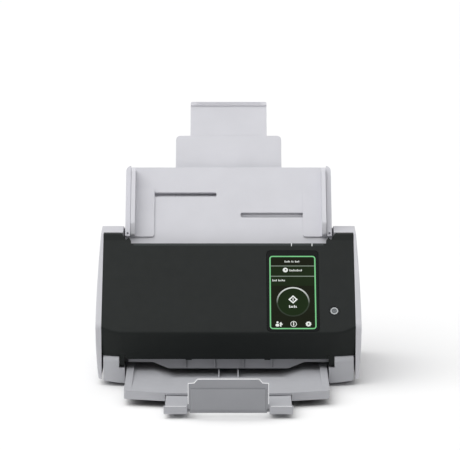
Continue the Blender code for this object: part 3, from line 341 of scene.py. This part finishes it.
# the stopper's grey is the stacker's grey made darker: painted shade on the stopper's upright
# plate
STOPPER_PAINTED_SHADE_GREY = moulded("stopper_painted_shade_grey_plastic", (0.30, 0.305, 0.325), 0.46, 0.6, 0.02, 0.4, 0.03)
# near-white beads: painted highlights on the lit edges of the stopper and the fork
PAINTED_HIGHLIGHT_PALE = moulded("pale_painted_highlight_plastic", (0.88, 0.885, 0.90), 0.42, 0.6, 0.01, 0.4, 0.02)
BUTTON_PALE = moulded("button_pale", (0.42, 0.44, 0.45), 0.4, 0.3, 0.005)
BUTTON_DARK = moulded("button_dark", (0.085, 0.095, 0.10), 0.4, 0.3, 0.005)
BUTTON_SIGN = moulded("button_sign", (0.22, 0.24, 0.26), 0.4, 0.3, 0.005)
TICK_PALE = moulded("tick_pale", (0.80, 0.82, 0.82), 0.5, 0.3, 0.005)
RUBBER = rubber("black_rubber", (0.012, 0.012, 0.012))
STEEL = brushed("rolled_steel", (0.60, 0.61, 0.62), (0.04, 1.0, 1.0))
DISPLAY_GLASS = polished_black("touch_glass", (0.0040, 0.0048, 0.0050))
SCAN_GLASS = window_glass("scan_window_glass")
BOARD = board_mask("solder_mask")
UI_BODY = lit("screen_body", (0.0122, 0.0145, 0.0080))
UI_GREEN = lit("screen_green", (0.205, 0.590, 0.265))
UI_LINE = lit("screen_line", (0.200, 0.245, 0.200))
UI_WHITE = lit("screen_white", (0.800, 0.830, 0.800))
UI_ROW = lit("screen_row", (0.0140, 0.0235, 0.0098))
UI_DISC = lit("screen_disc", (0.0130, 0.0245, 0.0088))
UI_RING = lit_fade("screen_ring", (0.62, 0.65, 0.62), (0.020, 0.030, 0.018),
                   ring_height(-1), ring_height(1))

NODE_LOOKS = {
    "steel": STEEL,
    "black_rubber": RUBBER,
    "inner_black_plastic": INNER_BLACK,
    "charcoal_plastic": CHARCOAL,
    "light_grey_plastic": LIGHT_GREY,
    "chute_grey_plastic": CHUTE_GREY,
    "stacker_grey_plastic": STACKER_GREY,
    "display_glass": DISPLAY_GLASS,
    "scan_glass": SCAN_GLASS,
    "circuit_board": BOARD,
    "screen": UI_ROW,
}
# base_frame's own look is painted shade, a darker copy of the light grey
# stacker_stopper's own look is painted shade, a darker copy of the stacker's grey
OWN_LOOKS = {"stacker_stopper": STOPPER_PAINTED_SHADE_GREY, "base_frame": BLOCK_PAINTED_SHADE_GREY}

SOFTENED = {                  # the CAD nodes that show most, and how wide their edges are rounded
    "front_cover": 0.6,
    "side_cover_left": 0.5,
    "side_cover_right": 0.5,
    "base_frame": 0.5,
    "rear_cover": 0.4,
    "lower_guide": 0.3,
    "paper_chute": 0.5,
    "chute_back_cover": 0.5,
    "side_guide_left": 0.5,
    "side_guide_right": 0.5,
    "chute_extension_lower": 0.5,
    "chute_extension_upper": 0.4,
    "stacker": 0.5,
    "stacker_extension": 0.5,
    "stacker_stopper": 0.7,
    "power_button": 0.06,
    "button_ring": 0.2,
    "display_glass": 0.2,
}
PERFORATED = ("rear_cover", "lower_guide")

SLOT_OF = {entry["node"]: entry["material_slot"] for entry in frame["record"]["subparts"]}
BODY_OF = {node: body for body, nodes in frame["record"]["behaviour"]["bodies"].items()
           for node in nodes}


# ---------------------------------------------------------------- mesh helpers

def weld(bm):
    bmesh.ops.remove_doubles(bm, verts=bm.verts, dist=SAME_PLACE)


def shaded(piece, sharp_from):
    piece.data.shade_smooth()
    piece.data.set_sharp_from_angle(angle=sharp_from)


def shape_of(holder):
    """A new mesh with the holder's curve settings or modifiers applied."""
    graph = bpy.context.evaluated_depsgraph_get()
    return bpy.data.meshes.new_from_object(holder.evaluated_get(graph))


def settle(piece):
    """Applies a piece's modifiers."""
    mesh = shape_of(piece)
    piece.modifiers.clear()
    piece.data = mesh


def dress(piece, body, look):
    piece.data.materials.clear()
    piece.data.materials.append(look)
    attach(piece, body)


def mesh_piece(name, bm):
    bmesh.ops.recalc_face_normals(bm, faces=bm.faces)
    mesh = bpy.data.meshes.new(name)
    bm.to_mesh(mesh)
    bm.free()
    piece = bpy.data.objects.new(name, mesh)
    bpy.context.scene.collection.objects.link(piece)
    return piece


def curve_mesh(name, curve):
    """A welded bmesh of a curve's shape."""
    holder = bpy.data.objects.new(name + "_path", curve)
    bpy.context.scene.collection.objects.link(holder)
    mesh = shape_of(holder)
    bpy.data.objects.remove(holder)
    bm = bmesh.new()
    bm.from_mesh(mesh)
    weld(bm)
    return bm


def softened(node, width_mm):
    """A CAD node's shape with its flat faces made whole again and its edges rounded.

    A face with many openings in it stays in triangles, because one face can't hold them all.
    """
    bm = bmesh.new()
    bm.from_mesh(frame["nodes"][node].data)
    weld(bm)
    if node not in PERFORATED:
        bmesh.ops.dissolve_limit(bm, angle_limit=FLAT_WITHIN, verts=bm.verts, edges=bm.edges)
    piece = mesh_piece("moulded_" + node, bm)
    bevel = piece.modifiers.new("rounded_edges", "BEVEL")
    bevel.width = width_mm * MM
    bevel.segments = ROUND_STEPS
    bevel.limit_method = "ANGLE"
    bevel.angle_limit = ROUND_FROM
    bevel.use_clamp_overlap = True
    bevel.miter_outer = "MITER_ARC"
    settle(piece)
    shaded(piece, SHARP_FROM)
    weighted = piece.modifiers.new("flat_faces_stay_flat", "WEIGHTED_NORMAL")
    weighted.keep_sharp = True
    weighted.weight = WHOLLY_BY_AREA
    settle(piece)
    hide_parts(node)
    slot = SLOT_OF[node]
    dress(piece, BODY_OF[node], OWN_LOOKS.get(node, NODE_LOOKS[slot]))


def dress_frame():
    """Gives every CAD node its procedural material, and rounds the edges of those in SOFTENED."""
    for name, node in frame["nodes"].items():
        look = NODE_LOOKS[SLOT_OF[name]]
        for index in range(len(node.material_slots)):
            node.material_slots[index].material = look
        node.data.shade_smooth()
    for name, width in SOFTENED.items():
        softened(name, width)


# ---------------------------------------------------------------- flat marks on the sloped face

def flat_piece(name, outlines, low_mm, high_mm, origin=GLASS_FRONT):
    """A flat shape lying on the sloped face. Outlines inside others are holes."""
    curve = bpy.data.curves.new(name, "CURVE")
    curve.dimensions = "2D"
    curve.fill_mode = "BOTH"
    curve.extrude = (high_mm - low_mm) / 2 * MM
    for outline in outlines:
        spline = curve.splines.new("POLY")
        spline.points.add(len(outline) - 1)
        spline.use_cyclic_u = True
        for point, (x, y) in zip(spline.points, outline):
            point.co = (x * MM, y * MM, 0, 1)
    bm = curve_mesh(name, curve)
    turn = Matrix.Rotation(FACE_TILT, 4, "X")
    lift = Matrix.Translation(origin + OUT_OF_FACE * (low_mm + high_mm) / 2 * MM)
    bmesh.ops.transform(bm, verts=bm.verts, matrix=lift @ turn)
    return mesh_piece(name, bm)


def arc(x, y, radius, start, end, steps):
    angles = [math.radians(start + (end - start) * i / steps) for i in range(steps + 1)]
    return [(x + radius * math.cos(angle), y + radius * math.sin(angle)) for angle in angles]


def disc(x, y, radius, steps=32):
    return arc(x, y, radius, 0, 360, steps)[:-1]


def rounded_rect(left, low, right, high, radius, steps=6):
    corners = ((right - radius, high - radius), (left + radius, high - radius),
               (left + radius, low + radius), (right - radius, low + radius))
    outline = []
    for quarter, (x, y) in enumerate(corners):
        outline += arc(x, y, radius, quarter * 90, quarter * 90 + 90, steps)
    return outline


def centred_rect(x, y, width, height, radius):
    left, low = x - width / 2, y - height / 2
    return rounded_rect(left, low, x + width / 2, y + height / 2, radius, 3)


def stand_in_words(left, y, height, words):
    """Short upright strokes that stand for a line of words without spelling any.

    Each first stroke of three is tall, and the first two of three have a small bar beside them.
    """
    stroke, pitch = height * 0.30, height * 0.56
    short, bar_wide, bar_high = height * 0.72, pitch * 0.34, height * 0.2
    shapes = []
    x = left
    for letters in words:
        for index in range(letters):
            tall = height if index % 3 == 0 else short
            middle = y - (height - tall) / 2
            shapes.append(centred_rect(x + stroke / 2, middle, stroke, tall, stroke * 0.3))
            if index % 3 != 2:
                bar_y = y - height * 0.36 + index % 2 * height * 0.3
                bar = centred_rect(x + pitch * 0.62, bar_y, bar_wide, bar_high, height * 0.06)
                shapes.append(bar)
            x += pitch
        x += pitch
    return shapes


def screen_mark(name, outlines, layer, look):
    piece = flat_piece(name, outlines, LAYER * layer, LAYER * (layer + 0.8))
    dress(piece, "cover", look)


def screen_words(name):
    screen_mark(name, stand_in_words(*WORDS[name]), SIGN, UI_WHITE)


def make_rows():
    """The screen's border and backdrop, its two rows and their stand-in words."""
    inner, low, high = SCREEN_HALF - BORDER, SCREEN_LOW + BORDER, SCREEN_HIGH - BORDER
    outer_edge = rounded_rect(-SCREEN_HALF, SCREEN_LOW, SCREEN_HALF, SCREEN_HIGH, OUTER_CORNER)
    inner_edge = rounded_rect(-inner, low, inner, high, INNER_CORNER)
    screen_mark("screen_border", [outer_edge, inner_edge], ROW, UI_GREEN)
    screen_mark("screen_backdrop", [inner_edge], BACK, UI_BODY)
    top, middle = ROW_LINES
    side = inner - ROW_INSET
    mode_tall = top - middle - 2 * ROW_GAP
    mode_row = centred_rect(0, (top + middle) / 2, side * 2, mode_tall, ROW_CORNER)
    screen_mark("screen_row_mode", [mode_row], ROW, UI_ROW)
    label_row = rounded_rect(-side, LABEL_LOW, side, middle - ROW_GAP, ROW_CORNER)
    screen_mark("screen_row_label", [label_row], ROW, UI_ROW)
    for index, y in enumerate(ROW_LINES):
        divider = centred_rect(0, y, inner * 2, LINE_HEIGHT, 0.2)
        screen_mark(f"screen_divider_{index + 1}", [divider], LINE, UI_LINE)
    screen_words("screen_title")
    screen_mark("screen_mode_icon", [disc(*MODE_DISC), disc(*MODE_HOLE)], SIGN, UI_WHITE)
    screen_words("screen_mode_words")
    screen_words("screen_label_words")


def make_start_button():
    """The round start button with a diamond and a stand-in word in it."""
    inside = RING_R - RING_WIDE
    screen_mark("start_disc", [disc(RING_X, RING_Y, inside, 64)], ROW, UI_DISC)
    ring = [disc(RING_X, RING_Y, radius, 72) for radius in (RING_R, inside)]
    screen_mark("start_ring", ring, LINE, UI_RING)
    x, y = RING_X, RING_Y + DIAMOND_RISE
    diamond = [[(x - r, y), (x, y - r), (x + r, y), (x, y + r)]
               for r in (DIAMOND_R, DIAMOND_R - DIAMOND_WIDE)]
    bar = centred_rect(x, y, 1.2, 3.2, 0.4)
    screen_mark("start_diamond", diamond + [bar], SIGN, UI_WHITE)
    screen_words("start_words")


def make_icons():
    """A person with an arrow, a note in a circle, and a gear, along the screen's foot."""
    person = [disc(-ICON_X - 1.0, ICON_Y + 2.1, 1.2, 20),
              rounded_rect(-ICON_X - 3.2, ICON_Y - 3.2, -ICON_X + 1.0, ICON_Y + 0.3, 1.6)]
    arrow = ((0, -3.0), (1.5, -3.0), (1.5, -0.6), (3.2, -0.6), (0.9, 2.9), (-0.9, 0.6), (0, 0.6))
    sign = [(-ICON_X + 1.9 + x, ICON_Y - 0.3 + y) for x, y in arrow]
    screen_mark("icon_person", person + [sign], SIGN, UI_WHITE)

    note = [disc(NOTE_X, ICON_Y, 3.6), disc(NOTE_X, ICON_Y, 2.95),
            centred_rect(NOTE_X, ICON_Y - 0.6, 1.2, 3.0, 0.3),
            disc(NOTE_X, ICON_Y + 1.9, 0.7, 16)]
    screen_mark("icon_note", note, SIGN, UI_WHITE)

    teeth = []
    corners = 2 * GEAR_TEETH
    for index in range(corners):
        angle = math.tau * (index + 0.5) / corners
        radius = GEAR_TIP if index % 2 else GEAR_ROOT
        for turned in (angle - GEAR_HALF_TOOTH, angle + GEAR_HALF_TOOTH):
            teeth.append((GEAR_X + radius * math.cos(turned), ICON_Y + radius * math.sin(turned)))
    screen_mark("icon_gear", [teeth, disc(GEAR_X, ICON_Y, 1.0, 20)], SIGN, UI_WHITE)


def make_button_mark():
    """A pale ring, a dark face and an on mark printed on the power button."""
    low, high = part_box("power_button")
    half_height = (high.z - low.z) / 2
    radius = (high.x - low.x) / 2
    depth = (half_height - radius * math.sin(FACE_TILT)) / math.cos(FACE_TILT)
    front = (low + high) / 2 + OUT_OF_FACE * depth
    outer, inner = ON_ARC
    sign = [arc(0, 0, outer, ON_FROM, ON_TO, 20) + arc(0, 0, inner, ON_TO, ON_FROM, 20),
            centred_rect(0, 1.15, 0.42, 1.6, 0.12)]
    marks = (
        ("power_ring", [disc(0, 0, edge, 40) for edge in BUTTON_RING], 0, 1, BUTTON_PALE),
        ("power_face", [disc(0, 0, BUTTON_FACE, 40)], 0, 1, BUTTON_DARK),
        ("power_sign", sign, 0.5, 2, BUTTON_SIGN),
    )
    for name, outlines, bottom, top, look in marks:
        piece = flat_piece(name, outlines, LAYER * bottom, LAYER * top, front)
        dress(piece, "power_button", look)


def edge_mark(name, outline, thick, look):
    piece = flat_piece(name, [outline], EDGE_LIFT, EDGE_LIFT + thick)
    dress(piece, "cover", look)


def make_edge_marks():
    """Two short pale ticks on the cover's upper edge, and a smoother band along it whose lighter
    colour is a painted highlight of the rounded edge.
    """
    low, high = EDGE_Y - BAND_BELOW, EDGE_Y + BAND_ABOVE
    edge_mark("edge_painted_highlight_band", rounded_rect(BAND_LEFT, low, BAND_RIGHT, high, 0.6), LAYER, COVER_EDGE_PAINTED_HIGHLIGHT)
    for name, x in TICKS.items():
        tick = centred_rect(x, EDGE_Y, TICK_WIDE, TICK_TALL, 0.3)
        edge_mark(name, tick, TICK_THICK, TICK_PALE)


# ---------------------------------------------------------------- beads

def bead(name, points, radius_mm, body, look):
    """A thin round bead along a path of points in metres."""
    curve = bpy.data.curves.new(name, "CURVE")
    curve.dimensions = "3D"
    curve.bevel_depth = radius_mm * MM
    curve.bevel_resolution = 2
    curve.use_fill_caps = True
    spline = curve.splines.new("POLY")
    spline.points.add(len(points) - 1)
    for point, place in zip(spline.points, points):
        point.co = (*place, 1)
    piece = mesh_piece(name, curve_mesh(name, curve))
    shaded(piece, BEAD_SHARP_FROM)
    dress(piece, body, look)


def make_stopper_painted_highlight():
    """A pale bead along the stopper's top edge and shoulders, a painted highlight of that lit
    edge.
    """
    low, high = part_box("stacker_stopper")
    top = high.z / MM
    right = [(STOPPER_CORNERS[0][0], STOPPER_FOOT_Z)]
    right += [(x, top - down) for x, down in STOPPER_CORNERS]
    path = right + [(-x, z) for x, z in reversed(right)]
    points = [(x * MM, low.y + STOPPER_PLATE * MM, z * MM) for x, z in path]
    bead("stopper_painted_highlight", points, STOPPER_HIGHLIGHT_BEAD, "stacker_stopper", PAINTED_HIGHLIGHT_PALE)


def make_fork_painted_highlights():
    """Pale beads along the upper front edges of the fork's two ends, painted highlights of those
    lit edges.
    """
    low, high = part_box("stacker_extension")
    y, z = low.y + FORK_EDGE_BACK * MM, high.z - FORK_EDGE_DOWN * MM
    for name, side in (("fork_painted_highlight_left", -1), ("fork_painted_highlight_right", 1)):
        ends = [Vector((side * x * MM, y, z)) for x in FORK_EDGE]
        bead(name, ends, FORK_HIGHLIGHT_BEAD, "stacker_extension", PAINTED_HIGHLIGHT_PALE)


def make_grip_ridges():
    """The finger ridges on the chute's top stage."""
    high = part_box("chute_extension_upper")[1]
    slope = Vector((0, math.cos(CHUTE_TILT), math.sin(CHUTE_TILT)))
    out = Vector((0, -math.sin(CHUTE_TILT), math.cos(CHUTE_TILT)))
    # the grip's upper front edge is the box's top, because the chute leans back
    front_edge = Vector((0, high.y - GRIP_DEEP * math.sin(CHUTE_TILT) * MM, high.z))
    for index in range(GRIP_RIDGES):
        down = RIDGE_START + RIDGE_PITCH * index
        middle = front_edge - slope * down * MM + out * RIDGE_PROUD * MM
        ends = [middle + Vector((x * MM, 0, 0)) for x in (-RIDGE_HALF, RIDGE_HALF)]
        bead(f"grip_ridge_{index + 1}", ends, RIDGE_BEAD, "chute_extension_upper",
             CHUTE_GREY)


# ---------------------------------------------------------------- stage

def make_floor():
    bm = bmesh.new()
    bmesh.ops.create_grid(bm, x_segments=8, y_segments=8, size=FLOOR_SIZE)
    floor = mesh_piece("floor", bm)
    tree = Tree("pale_floor")
    shades = [(0.3, (0.90, 0.90, 0.90)), (0.7, (0.92, 0.92, 0.92))]
    tree.feed("Base Color", tree.ramp(tree.noise(900.0), shades))
    floor.data.materials.append(tree.fix(Roughness=0.9, Specular_IOR_Level=0.1))


def make_lights():
    """A sky that brightens upwards, and one broad sun from the upper left front."""
    world = bpy.data.worlds.new("studio")
    bpy.context.scene.world = world
    world.use_nodes = True
    nodes, links = world.node_tree.nodes, world.node_tree.links
    place = nodes.new("ShaderNodeTexCoord")
    split = nodes.new("ShaderNodeSeparateXYZ")
    ramp = nodes.new("ShaderNodeValToRGB")
    links.new(place.outputs["Generated"], split.inputs["Vector"])
    links.new(split.outputs["Z"], ramp.inputs["Fac"])
    links.new(ramp.outputs["Color"], nodes["Background"].inputs["Color"])
    low, high = ramp.color_ramp.elements
    low.position, low.color = 0.0, (SKY_LOW, SKY_LOW, SKY_LOW, 1)
    high.position, high.color = SKY_HIGH_AT, (SKY_HIGH, SKY_HIGH, SKY_HIGH, 1)
    nodes["Background"].inputs["Strength"].default_value = SKY_STRENGTH
    sun = bpy.data.lights.new("key", "SUN")
    sun.energy = SUN_ENERGY
    sun.angle = SUN_WIDTH
    lamp = bpy.data.objects.new("key", sun)
    bpy.context.scene.collection.objects.link(lamp)
    lamp.rotation_euler = SUN_TURN


def make_camera():
    data = bpy.data.cameras.new("camera")
    data.sensor_width = CAMERA_SENSOR
    data.lens = CAMERA_LENS
    camera = bpy.data.objects.new("camera", data)
    bpy.context.scene.collection.objects.link(camera)
    camera.location = CAMERA_AT
    camera.rotation_euler = CAMERA_TURN
    bpy.context.scene.camera = camera
    bpy.context.scene.view_settings.view_transform = "Standard"


make_camera()
make_floor()
make_lights()
dress_frame()
make_rows()
make_start_button()
make_icons()
make_button_mark()
make_edge_marks()
make_stopper_painted_highlight()
make_fork_painted_highlights()
make_grip_ridges()
